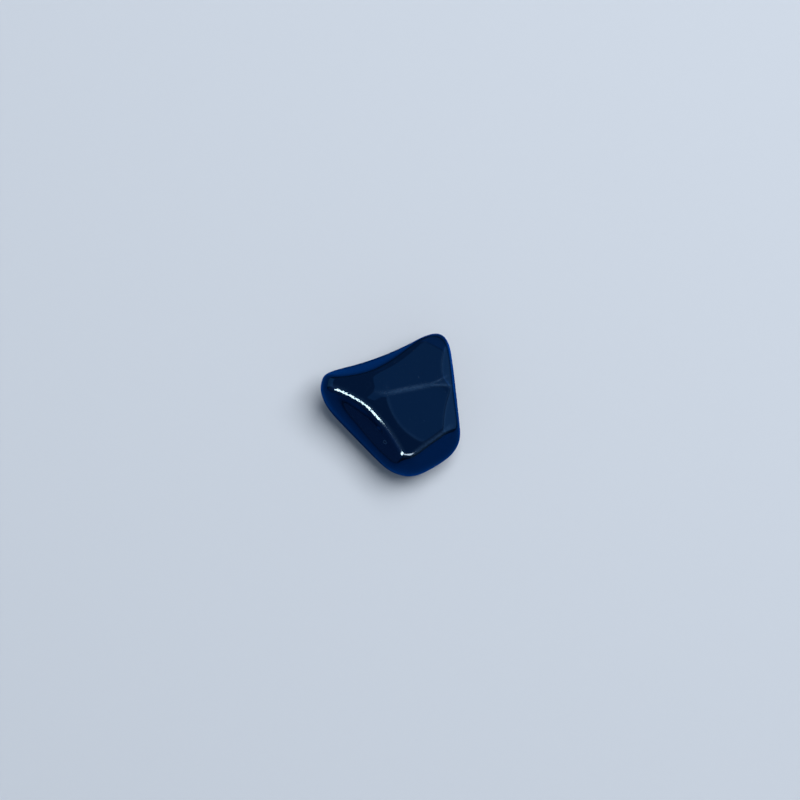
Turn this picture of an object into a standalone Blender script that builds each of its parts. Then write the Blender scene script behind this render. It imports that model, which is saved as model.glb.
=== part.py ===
"""Tumbled obsidian: one pebble of volcanic glass, worn smooth over the faces it broke along.

The stone is the space behind a set of faces. Each is flat, or a hollow or a swelling of large
radius, as glass breaks, and wear has rounded every edge between them by its own amount. A ball of
square cells, stretched to the pebble's proportions, is then drawn onto that surface.
+Z is up, the stone rests on its flat spot at z = 0, and the origin is under the middle of it.
"""

import math
from dataclasses import dataclass

import bmesh
import bpy
import numpy as np
from mathutils import Matrix

STONE_NAME = "tumbled_obsidian"
MM = 0.001

# Lengths here are in millimetres and angles in degrees, and the mesh is made in metres.
# The ball of cells that becomes the surface, its turn about +Z, and the rays that draw it there.
CELLS_ALONG_SIDE = 26
BALL_FLATNESS = 0.62
BALL_TURN = 18.0
EVENING_ROUNDS = 10
HEART = (0.6, -0.4, 4.6)
REACH = 16.0
HALVINGS = 44
FLAT_SPOT_TOLERANCE = 1e-4

# Volcanic glass with the deep blue-black of the stone.
GLASS_COLOUR = (0.004, 0.013, 0.036, 1.0)
GLASS_ROUGHNESS = 0.06
GLASS_IOR = 1.49

# Where the three top faces meet, and where the ridge between them fades out and forks.
CROWN_POINT = (-0.55, 1.62, 10.0)
RIDGE_FADE = (-2.25, 1.45, 10.14)
RIDGE_FORK = (4.65, 2.62, 9.414)


@dataclass(frozen=True)
class Face:
    """One face that the stone broke along.

    name: which face of the stone it is.
    foot: a point of the face, in millimetres.
    azimuth: where the face looks, in degrees anticlockwise from +X.
    tilt: degrees away from looking straight up, so 90 is a wall and 180 an underside.
    bow: radius in millimetres of a swelling, or of a hollow where it is negative; 0 is flat.
    wear: depth in millimetres over which its edges with the faces before it are rounded.
    """

    name: str
    foot: tuple
    azimuth: float
    tilt: float
    bow: float = 0.0
    wear: float = 1.0

    def outward(self):
        """The direction that the face looks in at its foot."""
        azimuth = math.radians(self.azimuth)
        tilt = math.radians(self.tilt)
        level = math.sin(tilt)
        return np.array((level * math.cos(azimuth), level * math.sin(azimuth), math.cos(tilt)))

    def height_above(self, points):
        """How far each point lies outside the face, and less than zero behind it."""
        foot = np.array(self.foot)
        if not self.bow:
            return (points - foot) @ self.outward()
        centre = foot - self.bow * self.outward()
        from_centre = np.linalg.norm(points - centre, axis=-1)
        return math.copysign(1.0, self.bow) * (from_centre - abs(self.bow))


# The nearly level faces on top. The lower one is a flake scar that was struck from the right edge.
CROWN = (
    Face("lower scar", CROWN_POINT, azimuth=-23.3, tilt=8.8, bow=-157.0),
    Face("left strip", CROWN_POINT, azimuth=-37.9, tilt=6.2, wear=0.02),
    Face("upper scar", CROWN_POINT, azimuth=53.7, tilt=9.6, bow=-200.0, wear=0.06),
    Face("rubbed crown", RIDGE_FADE, azimuth=98.0, tilt=4.0, bow=80.0, wear=0.20),
    Face("ridge end", RIDGE_FORK, azimuth=38.0, tilt=6.4, wear=0.02),
)

# The sloping faces between the top and the walls.
SHOULDERS = (
    Face("right upper bevel", (7.90, 6.90, 8.62), azimuth=4.0, tilt=25.0, bow=-16.0, wear=0.12),
    Face("right lower bevel", (7.92, -3.40, 8.79), azimuth=-4.0, tilt=25.0, bow=-36.0, wear=0.12),
    Face("left scar", (-3.05, -0.73, 10.06), azimuth=230.5, tilt=48.0, bow=-35.0, wear=1.0),
    Face("lower right slope", (5.85, -5.80, 8.90), azimuth=-52.0, tilt=52.0, wear=0.9),
    Face("upper left scar", (-1.00, 5.92, 9.45), azimuth=114.5, tilt=65.0, bow=-21.4, wear=1.0),
    Face("left tip", (-8.90, 3.10, 9.60), azimuth=170.0, tilt=42.0, wear=1.0),
    Face("top tip", (7.10, 9.90, 7.95), azimuth=62.0, tilt=38.0, wear=1.0),
    Face("bottom tip", (2.70, -7.72, 9.09), azimuth=268.0, tilt=50.0, wear=0.6),
)

# The walls, which give the outline that is seen from above.
WALLS = (
    Face("lower left wall", (-5.41, -5.41, 4.00), azimuth=224.0, tilt=88.0),
    Face("left wall", (-9.88, -1.24, 4.00), azimuth=197.0, tilt=90.0, wear=2.0),
    Face("lower right wall", (7.76, -9.63, 4.00), azimuth=-65.0, tilt=86.0, wear=6.8),
    Face("right wall", (9.98, 1.02, 4.50), azimuth=7.0, tilt=84.0, wear=1.2),
    Face("upper left wall", (-1.33, 7.21, 4.20), azimuth=108.8, tilt=92.0, bow=-43.0, wear=6.0),
)

# The underside: a broad swelling with the corners of the stone tucked up around it.
BELLY = (
    Face("belly", (1.10, -0.40, -0.35), azimuth=0.0, tilt=180.0, bow=26.0),
    Face("lower left tuck", (-4.60, -4.60, 1.60), azimuth=225.0, tilt=135.0, bow=40.0, wear=1.6),
    Face("lower right tuck", (5.20, -8.60, 1.30), azimuth=300.0, tilt=132.0, bow=40.0, wear=1.6),
    Face("right tuck", (8.30, 0.50, 1.30), azimuth=2.0, tilt=130.0, bow=60.0, wear=1.4),
    Face("upper left tuck", (-1.80, 5.10, 1.80), azimuth=117.0, tilt=134.0, wear=1.4),
    Face("top tuck", (7.30, 9.60, 1.80), azimuth=62.0, tilt=115.0, wear=1.2),
    Face("left tuck", (-8.60, 3.20, 3.00), azimuth=152.0, tilt=125.0, wear=1.6),
)

# Wear where the walls meet the upper faces: least on the right, most on the lower left.
GIRDLE_WEAR = 1.9
GIRDLE_WEAR_SWING = 1.1
MOST_WORN_AZIMUTH = 205.0
BELLY_WEAR = 2.4
FLAT_SPOT_WEAR = 0.12


def worn_edge(first, second, wear):
    """The larger of two heights, with the edge where they are equal rounded off.

    A cubic adds up to a sixth of the wear there, and leaves both faces with no step in bend.
    """
    overlap = np.clip(1.0 - np.abs(first - second) / wear, 0.0, None)
    return np.maximum(first, second) + wear / 6.0 * overlap**3


def worn_together(points, faces):
    """How far the points lie outside all of the faces, merged one after another."""
    height = faces[0].height_above(points)
    for face in faces[1:]:
        height = worn_edge(height, face.height_above(points), face.wear)
    return height


def height_above_stone(points):
    """How far each point lies outside the stone, and less than zero inside it."""
    around = np.arctan2(points[..., 1], points[..., 0]) - math.radians(MOST_WORN_AZIMUTH)
    girdle_wear = GIRDLE_WEAR + GIRDLE_WEAR_SWING * np.cos(around)
    upper = worn_together(points, CROWN + SHOULDERS)
    stone = worn_edge(upper, worn_together(points, WALLS), girdle_wear)
    stone = worn_edge(stone, worn_together(points, BELLY), BELLY_WEAR)
    return worn_edge(stone, -points[..., 2], FLAT_SPOT_WEAR)


def drawn_onto_stone(directions):
    """The points where rays from the heart of the stone leave it, in millimetres."""
    heart = np.array(HEART)
    directions = directions / np.linalg.norm(directions, axis=1, keepdims=True)
    inside = np.zeros(len(directions))
    outside = np.full(len(directions), REACH)
    for _ in range(HALVINGS):
        middle = (inside + outside) / 2.0
        within = height_above_stone(heart + directions * middle[:, None]) < 0.0
        inside = np.where(within, middle, inside)
        outside = np.where(within, outside, middle)
    points = heart + directions * inside[:, None]
    points[points[:, 2] < FLAT_SPOT_TOLERANCE, 2] = 0.0
    return points


def ball_of_cells(name):
    """A cube cut into square cells, which the stone is then shaped from."""
    bpy.ops.mesh.primitive_cube_add(size=2.0)
    ball = bpy.context.object
    ball.name = name
    ball.data.name = name
    mesh = bmesh.new()
    mesh.from_mesh(ball.data)
    bmesh.ops.subdivide_edges(
        mesh, edges=mesh.edges[:], cuts=CELLS_ALONG_SIDE - 1, use_grid_fill=True
    )
    mesh.to_mesh(ball.data)
    mesh.free()
    return ball


def middle_of_neighbours(points, edges):
    """The mean place of the corners that each corner shares an edge with."""
    sums = np.zeros_like(points)
    counts = np.zeros(len(points))
    for near, far in (edges.T, edges.T[::-1]):
        np.add.at(sums, near, points[far])
        np.add.at(counts, near, 1.0)
    return sums / counts[:, None]


def shape_stone(ball):
    """Move every corner of the cells onto the surface of the stone, and centre its footprint."""
    corners = np.empty(len(ball.data.vertices) * 3)
    ball.data.vertices.foreach_get("co", corners)
    edges = np.empty(len(ball.data.edges) * 2, dtype=np.int32)
    ball.data.edges.foreach_get("vertices", edges)
    # The tangent spaces the cells evenly, which on a cube are smaller towards its corners.
    directions = np.tan(corners.reshape(-1, 3) * math.pi / 4.0)
    directions /= np.linalg.norm(directions, axis=1, keepdims=True)
    directions[:, 2] *= BALL_FLATNESS
    # Turned so, rows of cells run along the stone's longest edges.
    turn = Matrix.Rotation(math.radians(BALL_TURN), 3, "Z")
    points = drawn_onto_stone(directions @ np.array(turn).T)
    for _ in range(EVENING_ROUNDS):
        points = drawn_onto_stone(middle_of_neighbours(points, edges.reshape(-1, 2)) - HEART)
    points[:, :2] -= (points[:, :2].min(axis=0) + points[:, :2].max(axis=0)) / 2.0
    ball.data.vertices.foreach_set("co", (points * MM).ravel())
    ball.data.shade_smooth()
    ball.data.update()


def obsidian():
    """Polished volcanic glass, too dark to see into."""
    material = bpy.data.materials.new("obsidian")
    material.use_nodes = True
    shader = material.node_tree.nodes["Principled BSDF"]
    shader.inputs["Base Color"].default_value = GLASS_COLOUR
    shader.inputs["Roughness"].default_value = GLASS_ROUGHNESS
    shader.inputs["Metallic"].default_value = 0.0
    shader.inputs["IOR"].default_value = GLASS_IOR
    return material


def clear_scene():
    """Remove every object that the file opened with."""
    for leftover in list(bpy.data.objects):
        bpy.data.objects.remove(leftover, do_unlink=True)


def build():
    """Model the stone in a collection of its own."""
    clear_scene()
    stone = ball_of_cells(STONE_NAME)
    shape_stone(stone)
    stone.data.materials.append(obsidian())
    collection = bpy.data.collections.new("tumbled obsidian")
    bpy.context.scene.collection.children.link(collection)
    for holder in list(stone.users_collection):
        holder.objects.unlink(stone)
    collection.objects.link(stone)
    return stone


build()
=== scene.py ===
"""Tumbled obsidian on a pale table: one pebble of polished volcanic glass, seen from above.

The visible stone follows the same broken faces and worn edges as its solid, drawn on cells of
about a sixth of a millimetre, and carries the small marks that tumbling left: bruised edges,
percussion rings, shallow dimples and a few scratches. The pale colour of the bruised edges is
also a painted highlight along the ridge, the fork and the rims. Lengths in the stone's own
classes are in millimetres, and everything is handed to Blender in metres.
"""

import logging
import math
from dataclasses import dataclass
from enum import Enum

import bpy
import numpy as np
from mathutils import Matrix, Quaternion, Vector


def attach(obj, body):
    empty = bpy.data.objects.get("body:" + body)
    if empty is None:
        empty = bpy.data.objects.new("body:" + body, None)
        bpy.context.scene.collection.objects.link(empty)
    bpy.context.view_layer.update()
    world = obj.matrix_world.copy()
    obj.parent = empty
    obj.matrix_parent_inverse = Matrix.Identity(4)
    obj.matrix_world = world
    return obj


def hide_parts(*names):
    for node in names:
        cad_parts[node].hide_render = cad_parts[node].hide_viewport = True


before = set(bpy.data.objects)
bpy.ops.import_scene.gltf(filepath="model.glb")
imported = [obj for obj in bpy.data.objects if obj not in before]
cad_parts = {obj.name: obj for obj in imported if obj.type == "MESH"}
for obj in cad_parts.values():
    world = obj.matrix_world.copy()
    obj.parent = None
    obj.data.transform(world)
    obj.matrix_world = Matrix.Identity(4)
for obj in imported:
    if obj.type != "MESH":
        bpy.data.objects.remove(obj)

MM = 0.001
NODE_NAME = "tumbled_obsidian"
LOG = logging.getLogger("obsidian")


def linear_from_hex(code: str) -> tuple[float, float, float, float]:
    """Turn an sRGB hex colour into the linear colour that a shader takes.

    Args:
        code: The colour as "#RRGGBB".

    Returns:
        Linear red, green and blue, and an alpha of one.
    """
    channels = []
    # The sRGB curve starts with a short straight line and goes on as a power.
    for start in (1, 3, 5):
        value = int(code[start : start + 2], 16) / 255.0
        if value <= 0.04045:
            channels.append(value / 12.92)
        else:
            channels.append(((value + 0.055) / 1.055) ** 2.4)
    return (channels[0], channels[1], channels[2], 1.0)


def add_node(
    tree: bpy.types.NodeTree, kind: str, feeds: dict | None = None, **settings: object
) -> bpy.types.Node:
    """Add a node with its settings, and fill or link its inputs.

    Args:
        tree: The tree that the node goes into.
        kind: The node's type name.
        feeds: Input names or numbers, each with a value or with the output that feeds it.
        settings: The node's own options by name.

    Returns:
        The new node.
    """
    made = tree.nodes.new(kind)
    for name, value in settings.items():
        setattr(made, name, value)
    for slot, value in (feeds or {}).items():
        if isinstance(value, bpy.types.NodeSocket):
            tree.links.new(value, made.inputs[slot])
        else:
            made.inputs[slot].default_value = value
    return made


def colour_output(node: bpy.types.Node) -> bpy.types.NodeSocket:
    """Give the colour output of a Mix node, whose outputs all share one name."""
    return [socket for socket in node.outputs if socket.type == "RGBA"][0]


def larger(
    tree: bpy.types.NodeTree, first: bpy.types.NodeSocket, second: bpy.types.NodeSocket
) -> bpy.types.NodeSocket:
    """Add a node that gives the larger of two numbers."""
    return add_node(tree, "ShaderNodeMath", {0: first, 1: second}, operation="MAXIMUM").outputs[0]


def faded(
    tree: bpy.types.NodeTree,
    value: bpy.types.NodeSocket,
    span: tuple[float, float],
    strength: float,
) -> bpy.types.NodeSocket:
    """Add a node that gives a strength below a span of values, none above it, and fades between.

    Args:
        tree: The material's nodes.
        value: The value that decides.
        span: Where the fading starts and ends.
        strength: What it fades from.

    Returns:
        The faded strength.
    """
    return add_node(
        tree,
        "ShaderNodeMapRange",
        {
            "Value": value,
            "From Min": span[0],
            "From Max": span[1],
            "To Min": strength,
            "To Max": 0.0,
        },
    ).outputs["Result"]


def direction(azimuth: float, tilt: float) -> np.ndarray:
    """Give the unit vector that leans away from straight up.

    Args:
        azimuth: Degrees anticlockwise from +X.
        tilt: Degrees away from +Z.

    Returns:
        The unit vector.
    """
    around = math.radians(azimuth)
    lean = math.radians(tilt)
    level = math.sin(lean)
    return np.array((level * math.cos(around), level * math.sin(around), math.cos(lean)))


class Ring(Enum):
    """The ring of the stone that a broken face belongs to, from the top down."""

    CROWN = "crown"
    SHOULDER = "shoulder"
    WALL = "wall"
    BELLY = "belly"


class BruiseAndHighlight(Enum):
    """How tumbling dulled an edge, and how strongly its pale bruise colour is laid along it as a
    painted highlight.

    The numbers are its strength, how far it reaches and how much another face may have cut away
    of it, both in millimetres, and how much it is pitted.
    """

    NONE = (0.0, 0.30, 0.4, 0.0)
    FAINT = (0.30, 0.35, 0.4, 0.0)
    FORK = (0.90, 0.30, 0.4, 0.1)
    RIM = (0.62, 0.52, 0.4, 1.0)
    LOW_RIM = (0.80, 0.56, 0.4, 0.12)
    RIDGE = (1.0, 0.54, 1.0, 0.1)


@dataclass(frozen=True)
class Face:
    """One face that the stone broke along: flat, hollow or swollen, with its edges worn.

    ring is where it lies, foot a point of it, azimuth and tilt where it looks there, bow the
    radius of its swelling (a hollow where negative, flat where zero), wear the depth over which
    its edges with the faces before it are rounded, and bruise how much those edges are dulled and
    painted paler as a highlight.
    """

    ring: Ring
    foot: tuple[float, float, float]
    azimuth: float
    tilt: float
    bow: float = 0.0
    wear: float = 1.0
    # How its edges are bruised also sets their painted highlight: a paler colour along the crest.
    bruise_and_highlight: BruiseAndHighlight = BruiseAndHighlight.NONE

    def height_above(self, points: np.ndarray) -> np.ndarray:
        """Measure how far points lie outside the face.

        Args:
            points: Points in the plan's millimetres, one to a row.

        Returns:
            The distance of each, less than zero behind the face.
        """
        outward = direction(self.azimuth, self.tilt)
        foot = np.array(self.foot)
        if not self.bow:
            return (points - foot) @ outward
        from_centre = np.linalg.norm(points - foot + self.bow * outward, axis=-1)
        return math.copysign(1.0, self.bow) * (from_centre - abs(self.bow))

    def outward_at(self, points: np.ndarray) -> np.ndarray:
        """Find which way the face looks nearest to each point.

        Args:
            points: Points in the plan's millimetres, one to a row.

        Returns:
            A unit vector for each point.
        """
        outward = direction(self.azimuth, self.tilt)
        if not self.bow:
            return np.broadcast_to(outward, points.shape)
        from_centre = points - np.array(self.foot) + self.bow * outward
        length = np.linalg.norm(from_centre, axis=-1, keepdims=True)
        return math.copysign(1.0, self.bow) * from_centre / length


# The plan that the faces are laid out on has its own middle, this far from the stone's.
PLAN_SHIFT = (0.0746, 0.1817)

CROWN_POINT = (-0.55, 1.62, 10.0)
RIDGE_FADE = (-2.25, 1.45, 10.14)
RIDGE_FORK = (4.65, 2.62, 9.414)

# Each ring's faces in the order that they are merged in.
FACES = (
    # The lower scar, the strip left of it, the upper scar, the crown that was rubbed down where
    # the ridge fades, and the face at the ridge's forked end.
    Face(Ring.CROWN, CROWN_POINT, azimuth=-23.3, tilt=8.8, bow=-157.0),
    Face(Ring.CROWN, CROWN_POINT, -37.9, 6.2, wear=0.02, bruise_and_highlight=BruiseAndHighlight.FAINT),
    Face(Ring.CROWN, CROWN_POINT, 53.7, 9.6, bow=-200.0, wear=0.06, bruise_and_highlight=BruiseAndHighlight.RIDGE),
    Face(Ring.CROWN, RIDGE_FADE, azimuth=98.0, tilt=4.0, bow=80.0, wear=0.20),
    Face(Ring.CROWN, RIDGE_FORK, 38.0, 6.4, wear=0.02, bruise_and_highlight=BruiseAndHighlight.FORK),
    # The two bevels on the right, the left scar, the lower right slope, the upper left scar, and
    # the left, top and bottom tips.
    Face(Ring.SHOULDER, (7.90, 6.90, 8.62), 4.0, 25.0, -16.0, wear=0.12, bruise_and_highlight=BruiseAndHighlight.FAINT),
    Face(Ring.SHOULDER, (7.92, -3.40, 8.79), -4.0, 25.0, -36.0, wear=0.12, bruise_and_highlight=BruiseAndHighlight.FAINT),
    Face(Ring.SHOULDER, (-3.05, -0.73, 10.06), 230.5, 48.0, bow=-35.0, bruise_and_highlight=BruiseAndHighlight.RIM),
    Face(Ring.SHOULDER, (5.85, -5.80, 8.90), -52.0, 52.0, wear=0.9, bruise_and_highlight=BruiseAndHighlight.LOW_RIM),
    Face(Ring.SHOULDER, (-1.00, 5.92, 9.45), azimuth=114.5, tilt=65.0, bow=-21.4),
    Face(Ring.SHOULDER, (-8.90, 3.10, 9.60), azimuth=170.0, tilt=42.0),
    Face(Ring.SHOULDER, (7.10, 9.90, 7.95), azimuth=62.0, tilt=38.0),
    Face(Ring.SHOULDER, (2.70, -7.78, 9.09), 268.0, 50.0, wear=1.1, bruise_and_highlight=BruiseAndHighlight.RIM),
    # The walls on the lower left, left, lower right, right and upper left.
    Face(Ring.WALL, (-5.41, -5.41, 4.00), azimuth=224.0, tilt=88.0),
    Face(Ring.WALL, (-9.88, -1.24, 4.00), azimuth=197.0, tilt=90.0, wear=2.0),
    Face(Ring.WALL, (7.76, -9.63, 4.00), azimuth=-65.0, tilt=86.0, wear=6.8),
    Face(Ring.WALL, (9.98, 1.02, 4.50), azimuth=7.0, tilt=84.0, wear=1.2),
    Face(Ring.WALL, (-1.33, 7.21, 4.20), azimuth=108.8, tilt=92.0, bow=-43.0, wear=6.0),
    # The belly, and the corners tucked up on the lower left, lower right, right, upper left, top
    # and left.
    Face(Ring.BELLY, (1.10, -0.40, -0.35), azimuth=0.0, tilt=180.0, bow=26.0),
    Face(Ring.BELLY, (-4.60, -4.60, 1.60), azimuth=225.0, tilt=135.0, bow=40.0, wear=1.6),
    Face(Ring.BELLY, (5.20, -8.60, 1.30), azimuth=300.0, tilt=132.0, bow=40.0, wear=1.6),
    Face(Ring.BELLY, (8.30, 0.50, 1.30), azimuth=2.0, tilt=130.0, bow=60.0, wear=1.4),
    Face(Ring.BELLY, (-1.80, 5.10, 1.80), azimuth=117.0, tilt=134.0, wear=1.4),
    Face(Ring.BELLY, (7.30, 9.60, 1.80), azimuth=62.0, tilt=115.0, wear=1.2),
    Face(Ring.BELLY, (-8.60, 3.20, 3.00), azimuth=152.0, tilt=125.0, wear=1.6),
)


@dataclass(frozen=True)
class Dimple:
    """A shallow hollow that a knock left, seen from above at a place of the plan."""

    name: str
    place: tuple[float, float]
    radius: float
    depth: float

    def height_above(self, points: np.ndarray, centre: np.ndarray) -> np.ndarray:
        """Give what the dimple takes off at each point.

        Args:
            points: Points in millimetres, one to a row.
            centre: The point of the surface at the dimple's middle.

        Returns:
            The depth taken off at each point.
        """
        reach = np.linalg.norm(points - centre, axis=-1) / self.radius
        return self.depth * np.clip(1.0 - reach**2, 0.0, None) ** 2


DIMPLES = (
    Dimple("upper face dimple", (3.9, 5.1), radius=1.5, depth=0.020),
    Dimple("right corner dimple", (8.75, -4.85), radius=0.75, depth=0.030),
    Dimple("left tip dimple", (-8.7, 3.2), radius=0.9, depth=0.020),
    Dimple("lower left knock", (-1.95, -3.75), radius=0.55, depth=0.014),
)


@dataclass(frozen=True)
class RingMark:
    """A percussion ring: the round crack that one knock leaves in glass.

    place is its middle on the plan, radius and line the circle's radius and the width of its
    crack in millimetres, and strength how pale the crack is, from 0 to 1.
    """

    name: str
    place: tuple[float, float]
    radius: float
    line: float
    strength: float

    def factor(
        self, tree: bpy.types.NodeTree, in_mm: bpy.types.NodeSocket, middle: tuple[float, ...]
    ) -> bpy.types.NodeSocket:
        """Draw the ring.

        Args:
            tree: The material's nodes.
            in_mm: The place on the stone in millimetres.
            middle: The point of the surface that the ring goes round.

        Returns:
            How pale the crack makes each place.
        """
        away = add_node(
            tree, "ShaderNodeVectorMath", {0: in_mm, 1: middle}, operation="DISTANCE"
        ).outputs["Value"]
        aside = add_node(
            tree, "ShaderNodeMath", {0: away, 1: self.radius}, operation="SUBTRACT"
        ).outputs["Value"]
        off_line = add_node(tree, "ShaderNodeMath", {0: aside}, operation="ABSOLUTE")
        return faded(tree, off_line.outputs["Value"], (0.0, self.line), self.strength)


@dataclass(frozen=True)
class Scratch:
    """A short scratch that thins out towards both ends, at a place and azimuth of the plan."""

    name: str
    place: tuple[float, float]
    azimuth: float
    length: float
    width: float
    strength: float

    def factor(
        self, tree: bpy.types.NodeTree, in_mm: bpy.types.NodeSocket, middle: tuple[float, ...]
    ) -> bpy.types.NodeSocket:
        """Draw the scratch.

        Args:
            tree: The material's nodes.
            in_mm: The place on the stone in millimetres.
            middle: The point of the surface at the middle of the scratch.

        Returns:
            How pale the scratch makes each place.
        """
        along = add_node(
            tree,
            "ShaderNodeMapping",
            {
                "Vector": in_mm,
                "Location": middle,
                "Rotation": (0.0, 0.0, math.radians(self.azimuth)),
                "Scale": (self.length / 2.0, self.width / 2.0, 1.0),
            },
            vector_type="TEXTURE",
        ).outputs["Vector"]
        reach = add_node(tree, "ShaderNodeVectorMath", {0: along}, operation="LENGTH")
        return faded(tree, reach.outputs["Value"], (0.3, 1.0), self.strength)


MARKS = (
    RingMark("lower left ring", (-0.90, -5.70), radius=0.26, line=0.14, strength=0.80),
    RingMark("lower right ring", (3.75, -8.35), radius=0.34, line=0.06, strength=0.16),
    RingMark("upper face ring", (-3.40, 2.90), radius=0.40, line=0.06, strength=0.10),
    Scratch("upper face scratch", (4.12, 4.05), 118.0, length=0.85, width=0.10, strength=0.40),
    Scratch("lower face dash", (2.10, 0.90), 8.0, length=0.45, width=0.09, strength=0.30),
    Scratch("left face nick", (-2.10, -3.60), 35.0, length=0.70, width=0.12, strength=0.26),
    Scratch("crown hairline", (-3.60, 2.20), 62.0, length=2.60, width=0.05, strength=0.12),
    Scratch("right hairline", (5.60, -1.60), -24.0, length=3.20, width=0.05, strength=0.10),
)


@dataclass(frozen=True)
class WornStone:
    """The stone as the space behind its faces, with worn edges, in the plan's millimetres.

    girdle_wear is the wear between the walls and the faces over them. It swings around the stone
    and is greatest at most_worn_azimuth. Edges that bend by less than sharp_bend are bruised less,
    and get less of the painted highlight. Each reach gives places along the plan's +X, and the
    share beside it how much of the ridge's bruise, the fork's bruise and the pits is left at those
    places; along the ridge and the fork that bruise is also their painted highlight. The swell is a
    sum of waves, each turned on from the one before, and it fades out below rest_clearance.
    """

    faces: tuple[Face, ...] = FACES
    dimples: tuple[Dimple, ...] = DIMPLES
    girdle_wear: float = 1.9
    girdle_wear_swing: float = 1.1
    most_worn_azimuth: float = 205.0
    belly_wear: float = 2.4
    flat_spot_wear: float = 0.12
    rest_clearance: float = 0.6
    top_search: tuple[float, float] = (6.0, 12.0)
    top_halvings: int = 30
    least_bend: float = 0.02
    sharp_bend: float = 0.08
    ridge_reach: tuple[float, ...] = (-3.0, 1.2, 4.7, 7.2)
    ridge_share: tuple[float, ...] = (0.0, 1.0, 1.0, 0.2)
    fork_reach: tuple[float, ...] = (2.8, 4.6)
    fork_share: tuple[float, ...] = (0.0, 1.0)
    pits_reach: tuple[float, ...] = (-2.4, -1.5, 1.0, 1.8)
    pits_share: tuple[float, ...] = (1.0, 0.1, 0.1, 0.5)
    swell_height: float = 0.0025
    swell_length: float = 2.6
    swell_count: int = 9
    swell_turn: float = 137.5
    swell_tilts: tuple[float, float] = (20.0, 15.0)
    swell_growth: float = 0.11
    swell_phase: float = 1.7

    @staticmethod
    def worn_edge(first: np.ndarray, second: np.ndarray, wear: float | np.ndarray) -> np.ndarray:
        """Merge two heights and round the edge where they are equal.

        Args:
            first: Heights above one surface.
            second: Heights above the other.
            wear: How different the two may be where the rounding ends.

        Returns:
            The merged heights.
        """
        overlap = np.clip(1.0 - np.abs(first - second) / wear, 0.0, None)
        return np.maximum(first, second) + wear / 6.0 * overlap**3

    def ring_height(self, points: np.ndarray, rings: tuple[Ring, ...]) -> np.ndarray:
        """Merge the faces of some rings.

        Args:
            points: Points in millimetres, one to a row.
            rings: The rings whose faces count.

        Returns:
            The height of each point above those faces together.
        """
        chosen = [face for face in self.faces if face.ring in rings]
        height = chosen[0].height_above(points)
        for face in chosen[1:]:
            height = self.worn_edge(height, face.height_above(points), face.wear)
        return height

    def bare_height(self, points: np.ndarray) -> np.ndarray:
        """Measure how far points lie outside the stone, before any mark is made on it.

        Args:
            points: Points in millimetres, one to a row.

        Returns:
            The height of each point, less than zero inside.
        """
        around = np.arctan2(points[:, 1], points[:, 0]) - math.radians(self.most_worn_azimuth)
        girdle = self.girdle_wear + self.girdle_wear_swing * np.cos(around)
        upper = self.ring_height(points, (Ring.CROWN, Ring.SHOULDER))
        stone = self.worn_edge(upper, self.ring_height(points, (Ring.WALL,)), girdle)
        stone = self.worn_edge(stone, self.ring_height(points, (Ring.BELLY,)), self.belly_wear)
        return self.worn_edge(stone, -points[:, 2], self.flat_spot_wear)

    def swell(self, points: np.ndarray) -> np.ndarray:
        """Give the faint unevenness that tumbling leaves in every face.

        Args:
            points: Points in millimetres, one to a row.

        Returns:
            What is added to the height of each point.
        """
        waves = np.zeros(len(points))
        first_tilt, more_tilt = self.swell_tilts
        for turn in range(self.swell_count):
            towards = direction(azimuth=self.swell_turn * turn, tilt=first_tilt + more_tilt * turn)
            length = self.swell_length * (1.0 + self.swell_growth * turn)
            waves += np.sin(points @ towards * math.tau / length + self.swell_phase * turn)
        return self.swell_height * waves / math.sqrt(self.swell_count)

    def top_at(self, place: tuple[float, float]) -> np.ndarray:
        """Find the point of the bare surface that is seen from above at a place of the plan.

        Args:
            place: The place in millimetres.

        Returns:
            The point.
        """
        low, high = self.top_search
        for _ in range(self.top_halvings):
            middle = (low + high) / 2.0
            point = np.array([(place[0], place[1], middle)])
            if self.bare_height(point)[0] < 0.0:
                low = middle
            else:
                high = middle
        return np.array((place[0], place[1], low))

    def height_above(self, points: np.ndarray) -> np.ndarray:
        """Measure how far points lie outside the finished stone, marks included.

        Args:
            points: Points in millimetres, one to a row.

        Returns:
            The height of each point, less than zero inside.
        """
        height = self.bare_height(points)
        above_rest = np.clip(points[:, 2] / self.rest_clearance, 0.0, 1.0)
        height = height + self.swell(points) * above_rest
        for dimple in self.dimples:
            height = height + dimple.height_above(points, self.top_at(dimple.place))
        return height

    def edge_bruise_and_highlight(self, points: np.ndarray) -> tuple[np.ndarray, np.ndarray]:
        """Find how bruised and pitted each point is, from the upper edges near it; the bruise also
        sets the painted highlight of the crests.

        Shoulders are bruised, and painted paler as a highlight, where they meet the crown, and the
        ridge where it falls to the lower faces, so the heights of both are kept while the faces are
        gone through.

        Args:
            points: Points of the surface in millimetres, one to a row.

        Returns:
            The bruise, which also sets the painted highlight, and the pitting of each point, from 0
            to 1.
        """
        bruise_and_highlight = np.zeros(len(points))
        pitted = np.zeros(len(points))
        upper = [face for face in self.faces if face.ring in (Ring.CROWN, Ring.SHOULDER)]
        crown = (upper[0].height_above(points), upper[0].outward_at(points))
        lower = crown
        for face in upper[1:]:
            strength, reach, cut, pits = face.bruise_and_highlight.value
            height, outward = lower if face.bruise_and_highlight is BruiseAndHighlight.RIDGE else crown
            other, other_outward = face.height_above(points), face.outward_at(points)
            bend = np.linalg.norm(outward - other_outward, axis=1)
            from_edge = np.abs(height - other) / np.maximum(bend, self.least_bend)
            nearness = np.clip(1.0 - from_edge / reach, 0.0, None)
            sharp = np.clip(bend / self.sharp_bend, 0.0, 1.0)
            merged = self.worn_edge(height, other, face.wear)
            nearness *= sharp * np.clip(1.0 + merged / cut, 0.0, 1.0)
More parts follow.
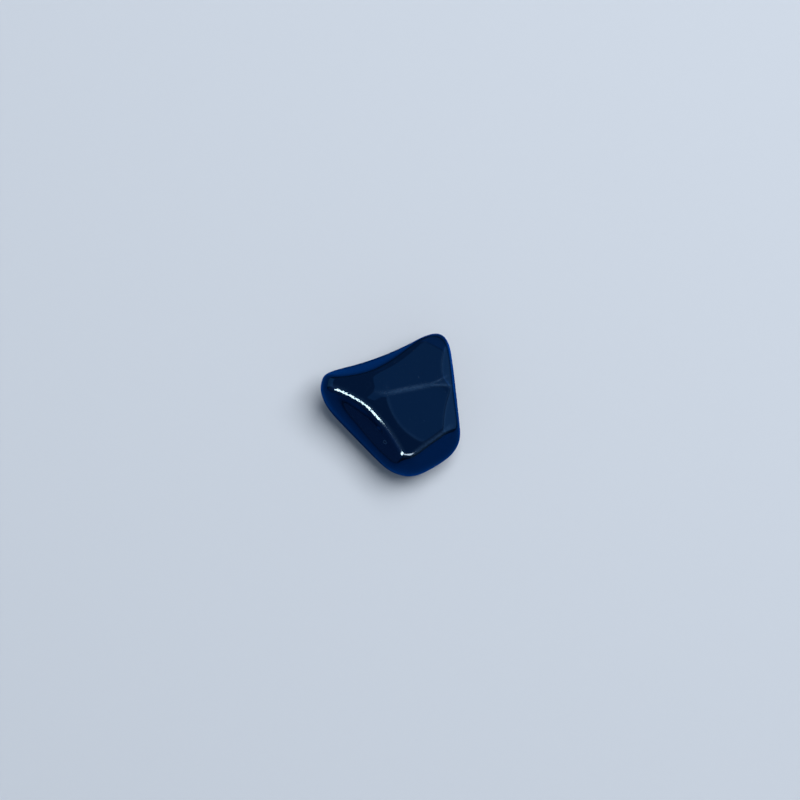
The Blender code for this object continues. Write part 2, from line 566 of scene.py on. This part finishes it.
            # The ridge's and the fork's bruise fade in and out along +X; there the pale colour is a
            # painted highlight along the crests.
            if face.bruise_and_highlight is BruiseAndHighlight.RIDGE:
                nearness *= np.interp(points[:, 0], self.ridge_reach, self.ridge_share)
            if face.bruise_and_highlight is BruiseAndHighlight.FORK:
                nearness *= np.interp(points[:, 0], self.fork_reach, self.fork_share)
            bruise_and_highlight = np.maximum(bruise_and_highlight, strength * nearness)
            pitted = np.maximum(pitted, pits * nearness)
            if face.ring is Ring.CROWN:
                now_outward = np.where((other > crown[0])[:, None], other_outward, crown[1])
                crown = (self.worn_edge(crown[0], other, face.wear), now_outward)
                if face.bruise_and_highlight is BruiseAndHighlight.FAINT:
                    lower = crown
        return bruise_and_highlight, pitted * np.interp(points[:, 0], self.pits_reach, self.pits_share)

    def outward(self, points: np.ndarray, step: float = 0.03) -> np.ndarray:
        """Find which way the finished surface looks.

        Args:
            points: Points of the surface in millimetres, one to a row.
            step: The distance over which the slope is measured.

        Returns:
            The unit normal at each point.
        """
        slope = np.empty_like(points)
        for axis in range(3):
            aside = np.zeros(3)
            aside[axis] = step
            slope[:, axis] = self.height_above(points + aside) - self.height_above(points - aside)
        return slope / np.linalg.norm(slope, axis=1, keepdims=True)


@dataclass(frozen=True)
class Obsidian:
    """Obsidian, tumble-polished: black volcanic glass with a faint blue depth.

    The polish gives a hard, clear reflection on dark glass. Edges are the last place to take a
    polish, so the knocks of tumbling show there as a fine grey bruise with a duller gloss, and
    as pits that break a highlight into beads. The bruise's pale colour also serves as a painted
    highlight: it lies strongest along the ridge, the fork and the rims, standing in for the light
    that these crests catch.
    """

    marks: tuple[RingMark | Scratch, ...] = MARKS
    body: str = "#01050C"
    band: str = "#020913"
    # Pale bruise colour: the grey of tumbled edges, and also a painted highlight strongest along
    # the ridge, the fork and the rims.
    bruise_and_highlight: str = "#1F3346"
    gloss: float = 0.035
    bruise_roughness: float = 0.15
    refraction: float = 1.49
    # Flow bands lie 1.6 mm apart, and each runs on for about eight.
    band_width: float = 1.6
    band_stretch: float = 0.12
    band_turn: tuple[float, float, float] = (0.35, -0.25, 0.5)
    # Bruises are patchy, with patches of a third of a millimetre.
    patches_per_mm: float = 3.0
    patch_span: tuple[float, float] = (0.34, 0.60)
    least_patch: float = 0.50
    # The gloss drifts a little over a millimetre or two.
    haze_per_mm: float = 0.7
    haze_span: tuple[float, float] = (0.3, 0.7)
    gloss_share: tuple[float, float] = (0.7, 1.5)
    # Pits and pecks are real knocks: pits crowd the edges, and pecks lie a few to the face.
    pit_spacing: float = 0.42
    pit_depth: float = 0.048
    peck_spacing: float = 2.3
    peck_span: tuple[float, float] = (0.02, 0.06)
    peck_strength: float = 0.22
    # Grit leaves hairlines a tenth of a millimetre across and some three long, along two lies,
    # each with its turn and lean.
    hairline_lies: tuple[tuple[float, float], ...] = ((0.6, 0.3), (2.3, -0.5))
    hairline_per_mm: tuple[float, float, float] = (0.35, 9.0, 9.0)
    hairline_span: tuple[float, float] = (0.26, 0.30)
    hairline_strength: float = 0.10

    def material(self, surface: WornStone, shift: tuple[float, float]) -> bpy.types.Material:
        """Build the node material.

        Args:
            surface: The stone, which says how high the marks lie.
            shift: How far the plan's middle is from the stone's, in millimetres.

        Returns:
            The material of the whole stone.
        """
        made = bpy.data.materials.new("tumble_polished_obsidian")
        made.use_nodes = True
        tree = made.node_tree
        shader = tree.nodes["Principled BSDF"]
        shader.inputs["Metallic"].default_value = 0.0
        shader.inputs["IOR"].default_value = self.refraction
        place = add_node(tree, "ShaderNodeTexCoord").outputs["Object"]
        in_mm = add_node(
            tree, "ShaderNodeMapping", {"Vector": place, "Scale": (1 / MM, 1 / MM, 1 / MM)}
        ).outputs["Vector"]
        # The edge mask: how bruised each place is, which also lays the painted highlight of the
        # crests.
        edges = add_node(tree, "ShaderNodeAttribute", attribute_name="edge_bruise_and_highlight").outputs["Fac"]
        knocks = self.pecks(tree, in_mm)
        for mark in self.marks:
            middle = surface.top_at(mark.place) + np.array((shift[0], shift[1], 0.0))
            drawn = mark.factor(tree, in_mm, tuple(middle))
            knocks = larger(tree, knocks, drawn)
        knocks = larger(tree, knocks, self.hairlines(tree, in_mm))
        self.colour(tree, shader, in_mm, edges, knocks)
        self.polish(tree, shader, in_mm, edges, knocks)
        return made

    def pecks(
        self, tree: bpy.types.NodeTree, in_mm: bpy.types.NodeSocket
    ) -> bpy.types.NodeSocket:
        """Scatter pin-sized pecks, a few to the face.

        Args:
            tree: The material's nodes.
            in_mm: The place on the stone in millimetres.

        Returns:
            How pale a peck makes each place.
        """
        scattered = add_node(
            tree,
            "ShaderNodeTexVoronoi",
            {"Vector": in_mm, "Scale": 1.0 / self.peck_spacing, "Randomness": 1.0},
        )
        return faded(tree, scattered.outputs["Distance"], self.peck_span, self.peck_strength)

    def hairlines(
        self, tree: bpy.types.NodeTree, in_mm: bpy.types.NodeSocket
    ) -> bpy.types.NodeSocket:
        """Draw the hairlines that grit leaves in two directions.

        Args:
            tree: The material's nodes.
            in_mm: The place on the stone in millimetres.

        Returns:
            How pale a hairline makes each place.
        """
        found = []
        for turn, lean in self.hairline_lies:
            lie = {"Rotation": (lean, -lean, turn), "Scale": self.hairline_per_mm}
            drawn_out = add_node(
                tree, "ShaderNodeMapping", {"Vector": in_mm, **lie}
            ).outputs["Vector"]
            grain = add_node(
                tree, "ShaderNodeTexNoise", {"Vector": drawn_out, "Scale": 1.0, "Detail": 1.0}
            ).outputs["Fac"]
            found.append(faded(tree, grain, self.hairline_span, self.hairline_strength))
        return larger(tree, found[0], found[1])

    def colour(
        self,
        tree: bpy.types.NodeTree,
        shader: bpy.types.Node,
        in_mm: bpy.types.NodeSocket,
        edges: bpy.types.NodeSocket,
        knocks: bpy.types.NodeSocket,
    ) -> None:
        """Colour the glass with its flow bands, bruised edges with their painted highlight, and
        marks.

        Args:
            tree: The material's nodes.
            shader: The shader that takes the colour.
            in_mm: The place on the stone in millimetres.
            edges: How bruised the edges are, and how strong their painted highlight is, from 0 to
                1.
            knocks: How pale the single marks are, from 0 to 1.
        """
        along_flow = add_node(
            tree,
            "ShaderNodeMapping",
            {
                "Vector": in_mm,
                "Rotation": self.band_turn,
                "Scale": (self.band_stretch, self.band_stretch, 1.0 / self.band_width),
            },
        ).outputs["Vector"]
        flow = add_node(
            tree, "ShaderNodeTexNoise", {"Vector": along_flow, "Scale": 1.0, "Detail": 3.0}
        ).outputs["Fac"]
        banded = add_node(
            tree,
            "ShaderNodeMix",
            {"Factor": flow, 6: linear_from_hex(self.body), 7: linear_from_hex(self.band)},
            data_type="RGBA",
        )
        speckle = add_node(
            tree,
            "ShaderNodeTexNoise",
            {"Vector": in_mm, "Scale": self.patches_per_mm, "Detail": 4.0},
        ).outputs["Fac"]
        patchy = add_node(
            tree,
            "ShaderNodeMapRange",
            {
                "Value": speckle,
                "From Min": self.patch_span[0],
                "From Max": self.patch_span[1],
                "To Min": self.least_patch,
                "To Max": 1.0,
            },
        ).outputs["Result"]
        # Bruised edges, with their painted crest highlight, and the single marks take the bruise
        # colour.
        bruised_and_highlighted = add_node(
            tree, "ShaderNodeMath", {0: edges, 1: patchy}, operation="MULTIPLY"
        ).outputs["Value"]
        glass = add_node(
            tree,
            "ShaderNodeMix",
            {
                "Factor": larger(tree, bruised_and_highlighted, knocks),
                6: colour_output(banded),
                7: linear_from_hex(self.bruise_and_highlight),
            },
            data_type="RGBA",
        )
        tree.links.new(colour_output(glass), shader.inputs["Base Color"])

    def polish(
        self,
        tree: bpy.types.NodeTree,
        shader: bpy.types.Node,
        in_mm: bpy.types.NodeSocket,
        edges: bpy.types.NodeSocket,
        knocks: bpy.types.NodeSocket,
    ) -> None:
        """Give the glass its gloss, and its edges their pits.

        Args:
            tree: The material's nodes.
            shader: The shader that takes the roughness and the bump.
            in_mm: The place on the stone in millimetres.
            edges: How bruised the edges are, and how strong their painted highlight is, from 0 to
                1.
            knocks: How pale the single marks are, from 0 to 1.
        """
        haze = add_node(
            tree,
            "ShaderNodeTexNoise",
            {"Vector": in_mm, "Scale": self.haze_per_mm, "Detail": 5.0},
        ).outputs["Fac"]
        gloss = add_node(
            tree,
            "ShaderNodeMapRange",
            {
                "Value": haze,
                "From Min": self.haze_span[0],
                "From Max": self.haze_span[1],
                "To Min": self.gloss * self.gloss_share[0],
                "To Max": self.gloss * self.gloss_share[1],
            },
        ).outputs["Result"]
        roughness = add_node(
            tree,
            "ShaderNodeMix",
            {"Factor": larger(tree, edges, knocks), "A": gloss, "B": self.bruise_roughness},
            data_type="FLOAT",
        ).outputs["Result"]
        tree.links.new(roughness, shader.inputs["Roughness"])
        pits = add_node(
            tree,
            "ShaderNodeTexVoronoi",
            {"Vector": in_mm, "Scale": 1.0 / self.pit_spacing, "Randomness": 1.0},
            feature="SMOOTH_F1",
        ).outputs["Distance"]
        pitted = add_node(tree, "ShaderNodeAttribute", attribute_name="edge_pits").outputs["Fac"]
        knocked = add_node(
            tree, "ShaderNodeMath", {0: pits, 1: pitted}, operation="MULTIPLY"
        ).outputs["Value"]
        bump = add_node(
            tree,
            "ShaderNodeBump",
            {"Height": knocked, "Strength": 1.0, "Distance": self.pit_depth * MM},
        ).outputs["Normal"]
        tree.links.new(bump, shader.inputs["Normal"])


@dataclass(frozen=True)
class ObsidianPebble:
    """The visible stone: a ball of fine cells drawn onto the worn stone's surface."""

    surface: WornStone
    finish: Obsidian
    cells_along_side: int = 101
    flatness: float = 0.62
    turn: float = 18.0
    heart: tuple[float, float, float] = (0.6, -0.4, 4.6)
    reach: float = 16.0
    evening_rounds: int = 8
    first_halvings: int = 24
    evening_halvings: int = 16
    last_halvings: int = 34
    rest_tolerance: float = 1e-4
    plan_shift: tuple[float, float] = PLAN_SHIFT

    def ball_of_cells(self) -> bpy.types.Object:
        """Cut a cube into square cells.

        Returns:
            The cube, two units wide, with every side cut into cells.
        """
        bpy.ops.object.select_all(action="DESELECT")
        bpy.ops.mesh.primitive_cube_add(size=2.0)
        ball = bpy.context.object
        ball.name = "obsidian_pebble"
        ball.data.name = "obsidian_pebble"
        bpy.ops.object.mode_set(mode="EDIT")
        bpy.ops.mesh.select_all(action="SELECT")
        bpy.ops.mesh.subdivide(number_cuts=self.cells_along_side - 1)
        bpy.ops.object.mode_set(mode="OBJECT")
        return ball

    def drawn_onto_stone(self, towards: np.ndarray, halvings: int) -> np.ndarray:
        """Follow rays from the heart of the stone to where they leave it.

        Args:
            towards: The directions of the rays, one to a row.
            halvings: How many times the search for the surface halves its span.

        Returns:
            The points of the surface in the plan's millimetres.
        """
        heart = np.array(self.heart)
        towards = towards / np.linalg.norm(towards, axis=1, keepdims=True)
        inside = np.zeros(len(towards))
        outside = np.full(len(towards), self.reach)
        for _ in range(halvings):
            middle = (inside + outside) / 2.0
            within = self.surface.height_above(heart + towards * middle[:, None]) < 0.0
            inside = np.where(within, middle, inside)
            outside = np.where(within, outside, middle)
        return heart + towards * inside[:, None]

    def shape(self, ball: bpy.types.Object) -> np.ndarray:
        """Draw every corner of the cells onto the stone.

        Args:
            ball: The cube of cells.

        Returns:
            The corners in the plan's millimetres.
        """
        corners = np.empty(len(ball.data.vertices) * 3)
        ball.data.vertices.foreach_get("co", corners)
        edges = np.empty(len(ball.data.edges) * 2, dtype=np.int32)
        ball.data.edges.foreach_get("vertices", edges)
        near, far = edges.reshape(-1, 2).T
        shared = np.bincount(np.concatenate((near, far)))[:, None]
        towards = np.tan(corners.reshape(-1, 3) * math.pi / 4.0)
        towards /= np.linalg.norm(towards, axis=1, keepdims=True)
        towards[:, 2] *= self.flatness
        turn = np.array(Matrix.Rotation(math.radians(self.turn), 3, "Z"))
        points = self.drawn_onto_stone(towards @ turn.T, self.first_halvings)
        for _ in range(self.evening_rounds):
            sums = np.zeros_like(points)
            for axis in range(3):
                sums[:, axis] = np.bincount(near, points[far, axis], len(points))
                sums[:, axis] += np.bincount(far, points[near, axis], len(points))
            points = self.drawn_onto_stone(sums / shared - self.heart, self.evening_halvings)
        points = self.drawn_onto_stone(points - self.heart, self.last_halvings)
        points[points[:, 2] < self.rest_tolerance, 2] = 0.0
        return points

    def build(self) -> bpy.types.Object:
        """Model the stone, dress it and let it stand for its solid.

        Returns:
            The finished piece.
        """
        stone = self.ball_of_cells()
        points = self.shape(stone)
        placed = points + np.array((self.plan_shift[0], self.plan_shift[1], 0.0))
        stone.data.vertices.foreach_set("co", (placed * MM).ravel())
        # The stored edge mask is the bruise and also the painted highlight along the ridge, fork
        # and rims.
        found = zip(("edge_bruise_and_highlight", "edge_pits"), self.surface.edge_bruise_and_highlight(points))
        for name, values in found:
            attribute = stone.data.attributes.new(name, "FLOAT", "POINT")
            attribute.data.foreach_set("value", values.astype(np.float32))
        stone.data.shade_smooth()
        stone.data.update()
        # The true slope of the surface at each corner keeps crests even between the cells.
        stone.data.normals_split_custom_set_from_vertices(self.surface.outward(points).tolist())
        stone.data.materials.clear()
        stone.data.materials.append(self.finish.material(self.surface, self.plan_shift))
        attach(stone, "root")
        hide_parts(NODE_NAME)
        return stone


@dataclass(frozen=True)
class PaleTable:
    """The table top: matte white-lacquered board that reaches past the view on every side."""

    colour: str = "#C9D0D9"
    painted_reflection_colour: str = "#0A6AE4"
    mirrored_shade: str = "#053A80"
    shade_reach: tuple[float, float] = (11.0, 15.5)
    half_width: float = 2.5
    cells: int = 8
    roughness: float = 0.9

    def build(self) -> bpy.types.Object:
        """Lay the table top at the height that the stone rests on.

        Returns:
            The table top.
        """
        bpy.ops.object.select_all(action="DESELECT")
        bpy.ops.mesh.primitive_grid_add(
            x_subdivisions=self.cells, y_subdivisions=self.cells, size=1.0
        )
        table = bpy.context.object
        table.name = "table_top"
        table.data.transform(Matrix.Scale(2.0 * self.half_width, 4))
        made = bpy.data.materials.new("matte_white_lacquer")
        made.use_nodes = True
        shader = made.node_tree.nodes["Principled BSDF"]
        # For glossy rays the table top is painted blue, so the glass shows a painted reflection as
        # blue as the room; close by the blue is painted darker, a painted shadow where the stone
        # would keep the light off it.
        mirrored = add_node(made.node_tree, "ShaderNodeLightPath").outputs["Is Glossy Ray"]
        place = add_node(made.node_tree, "ShaderNodeTexCoord").outputs["Object"]
        away = add_node(
            made.node_tree, "ShaderNodeVectorMath", {0: place}, operation="LENGTH"
        ).outputs["Value"]
        reach = (self.shade_reach[0] * MM, self.shade_reach[1] * MM)
        # Painted shadow: the mirrored blue darkens close to the stone.
        painted_shadow_near_stone = add_node(
            made.node_tree,
            "ShaderNodeMix",
            {
                "Factor": faded(made.node_tree, away, reach, 1.0),
                6: linear_from_hex(self.painted_reflection_colour),
                7: linear_from_hex(self.mirrored_shade),
            },
            data_type="RGBA",
        )
        both = add_node(
            made.node_tree,
            "ShaderNodeMix",
            {
                "Factor": mirrored,
                6: linear_from_hex(self.colour),
                7: colour_output(painted_shadow_near_stone),
            },
            data_type="RGBA",
        )
        made.node_tree.links.new(colour_output(both), shader.inputs["Base Color"])
        shader.inputs["Roughness"].default_value = self.roughness
        shader.inputs["Specular IOR Level"].default_value = 0.0
        table.data.materials.append(made)
        return table


class Task(Enum):
    """What a lamp is there for."""

    MIRRORED = "mirrored"
    LIGHTING = "lighting"


def hang_panel(
    name: str, size: tuple[float, float], brightness: float, colour: str
) -> bpy.types.Object:
    """Make a flat lamp panel, which shines along its own -Z.

    Args:
        name: The lamp's name.
        size: Its width and height in metres.
        brightness: Its radiance, where 1 is as bright as white in the picture.
        colour: Its colour as "#RRGGBB".

    Returns:
        The lamp.
    """
    lamp = bpy.data.lights.new(name, "AREA")
    lamp.shape = "RECTANGLE"
    lamp.size, lamp.size_y = size
    lamp.color = linear_from_hex(colour)[:3]
    # A panel's radiance is its power over pi times its area.
    lamp.energy = brightness * math.pi * size[0] * size[1]
    hung = bpy.data.objects.new(name, lamp)
    bpy.context.scene.collection.objects.link(hung)
    return hung


@dataclass(frozen=True)
class Softbox:
    """One flat lamp panel that looks at the stone from an azimuth and a height in degrees.

    Task says whether it is mirrored in the glass, or lights the table and the stone's body. Turn
    is how far it is turned about the way it looks, in degrees.
    """

    name: str
    task: Task
    azimuth: float
    elevation: float
    distance: float
    size: tuple[float, float]
    brightness: float
    colour: str = "#FFFFFF"
    turn: float = 0.0

    def build(self) -> bpy.types.Object:
        """Hang the lamp.

        Returns:
            The lamp.
        """
        hung = hang_panel(self.name, self.size, self.brightness, self.colour)
        towards = Vector(direction(self.azimuth, 90.0 - self.elevation))
        hung.location = towards * self.distance
        upright = towards.to_track_quat("Z", "Y")
        turned = Quaternion((0.0, 0.0, 1.0), math.radians(self.turn))
        hung.rotation_euler = (upright @ turned).to_euler()
        hung.visible_diffuse = self.task is Task.LIGHTING
        hung.visible_glossy = self.task is Task.MIRRORED
        return hung


@dataclass(frozen=True)
class CeilingPanel:
    """One lamp panel that hangs level over the stone, turned by an angle in degrees.

    The two broad top faces mirror it, and the strip beside them just misses it.
    """

    name: str
    middle: tuple[float, float, float]
    size: tuple[float, float]
    turn: float
    brightness: float
    colour: str

    def build(self) -> bpy.types.Object:
        """Hang the lamp.

        Returns:
            The lamp.
        """
        hung = hang_panel(self.name, self.size, self.brightness, self.colour)
        hung.location = self.middle
        hung.rotation_euler = (0.0, 0.0, math.radians(self.turn))
        hung.visible_diffuse = False
        return hung


@dataclass(frozen=True)
class Studio:
    """Plain soft light: softboxes that the rims mirror, dim panels and a wide overhead lamp.

    The glass mirrors a room that is blue overhead and dark at the horizon, and everything else is
    lit by a grey one. Behind the table the camera sees the backdrop.
    """

    lamps: tuple[Softbox | CeilingPanel, ...] = (
        Softbox(
            "rim_softbox", Task.MIRRORED, 236.4, 27.4, 0.60, (0.11, 0.27), 36.0, "#D2F2FC", -9.0
        ),
        Softbox(
            "tip_softbox", Task.MIRRORED, 269.0, 34.7, 0.60, (0.52, 0.16), 16.0, "#D4ECFF"
        ),
        Softbox(
            "right_panel", Task.MIRRORED, 2.0, 32.0, 0.90, (1.20, 0.84), 1.0, "#529EF9"
        ),
        CeilingPanel(
            "ceiling_panel", (0.400, 0.186, 1.5), (0.777, 0.630), 60.0, 1.0, "#306EBA"
        ),
        Softbox(
            "left_panel", Task.MIRRORED, 165.0, 18.0, 0.80, (0.75, 0.50), 0.9, "#4A9FFF"
        ),
        Softbox(
            "lower_left_panel", Task.MIRRORED, 222.0, 20.0, 0.80, (0.60, 0.56), 1.0, "#1F4CA6"
        ),
        Softbox(
            "corner_panel", Task.MIRRORED, 58.0, 34.0, 0.90, (0.68, 0.90), 0.7, "#0A70F0"
        ),
        Softbox("overhead_lamp", Task.LIGHTING, 50.0, 62.0, 1.00, (0.70, 0.70), 7.2),
    )
    mirrored_ceiling: str = "#2969D0"
    mirrored_horizon: str = "#0E2A55"
    ceiling_from: float = 0.55
    lit_room: str = "#6A7480"
    backdrop: str = "#C9D0D9"

    def build(self) -> None:
        """Hang the lamps and set the room."""
        for lamp in self.lamps:
            lamp.build()
        world = bpy.data.worlds.new("dim_room")
        world.use_nodes = True
        tree = world.node_tree
        tree.nodes.clear()
        path = add_node(tree, "ShaderNodeLightPath").outputs
        lit = add_node(tree, "ShaderNodeBackground", {"Color": linear_from_hex(self.lit_room)})
        towards = add_node(tree, "ShaderNodeTexCoord").outputs["Generated"]
        height = add_node(tree, "ShaderNodeSeparateXYZ", {"Vector": towards}).outputs["Z"]
        room = add_node(
            tree,
            "ShaderNodeMix",
            {
                "Factor": faded(tree, height, (0.0, self.ceiling_from), 1.0),
                6: linear_from_hex(self.mirrored_ceiling),
                7: linear_from_hex(self.mirrored_horizon),
            },
            data_type="RGBA",
        )
        mirrored = add_node(tree, "ShaderNodeBackground", {"Color": colour_output(room)})
        seen = add_node(tree, "ShaderNodeBackground", {"Color": linear_from_hex(self.backdrop)})
        around = add_node(
            tree,
            "ShaderNodeMixShader",
            {0: path["Is Glossy Ray"], 1: lit.outputs[0], 2: mirrored.outputs[0]},
        )
        either = add_node(
            tree,
            "ShaderNodeMixShader",
            {0: path["Is Camera Ray"], 1: around.outputs[0], 2: seen.outputs[0]},
        )
        add_node(tree, "ShaderNodeOutputWorld", {"Surface": either.outputs["Shader"]})
        bpy.context.scene.world = world
        bpy.context.scene.view_settings.view_transform = "Standard"


@dataclass(frozen=True)
class OverheadCamera:
    """A long lens straight above the stone, framed as the photograph is."""

    plan_origin: tuple[float, float] = PLAN_SHIFT
    origin_pixel: tuple[float, float] = (391.0, 404.0)
    pixels: float = 800.0
    mm_per_pixel: float = 0.15
    girdle_height: float = 4.5
    distance: float = 900.0
    sensor: float = 36.0
    clip: tuple[float, float] = (0.01, 20.0)

    def build(self) -> bpy.types.Object:
        """Set the camera up.

        Returns:
            The camera.
        """
        camera = bpy.data.cameras.new("overhead_camera")
        camera.sensor_width = self.sensor
        camera.lens = self.sensor * self.distance / (self.pixels * self.mm_per_pixel)
        camera.clip_start, camera.clip_end = self.clip
        held = bpy.data.objects.new("overhead_camera", camera)
        bpy.context.scene.collection.objects.link(held)
        right = (self.pixels / 2.0 - self.origin_pixel[0]) * self.mm_per_pixel
        up = (self.origin_pixel[1] - self.pixels / 2.0) * self.mm_per_pixel
        held.location = (
            (self.plan_origin[0] + right) * MM,
            (self.plan_origin[1] + up) * MM,
            (self.girdle_height + self.distance) * MM,
        )
        bpy.context.scene.camera = held
        return held


def main() -> None:
    """Build the stone, the table, the light and the camera."""
    logging.basicConfig(level=logging.INFO, format="%(name)s: %(message)s")
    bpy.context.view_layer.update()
    stone = ObsidianPebble(WornStone(), Obsidian()).build()
    LOG.info("%s has %d corners", stone.name, len(stone.data.vertices))
    table = PaleTable().build()
    LOG.info("%s is laid", table.name)
    Studio().build()
    OverheadCamera().build()
    LOG.info("lamps and camera are up")


if __name__ == "__main__":
    main()
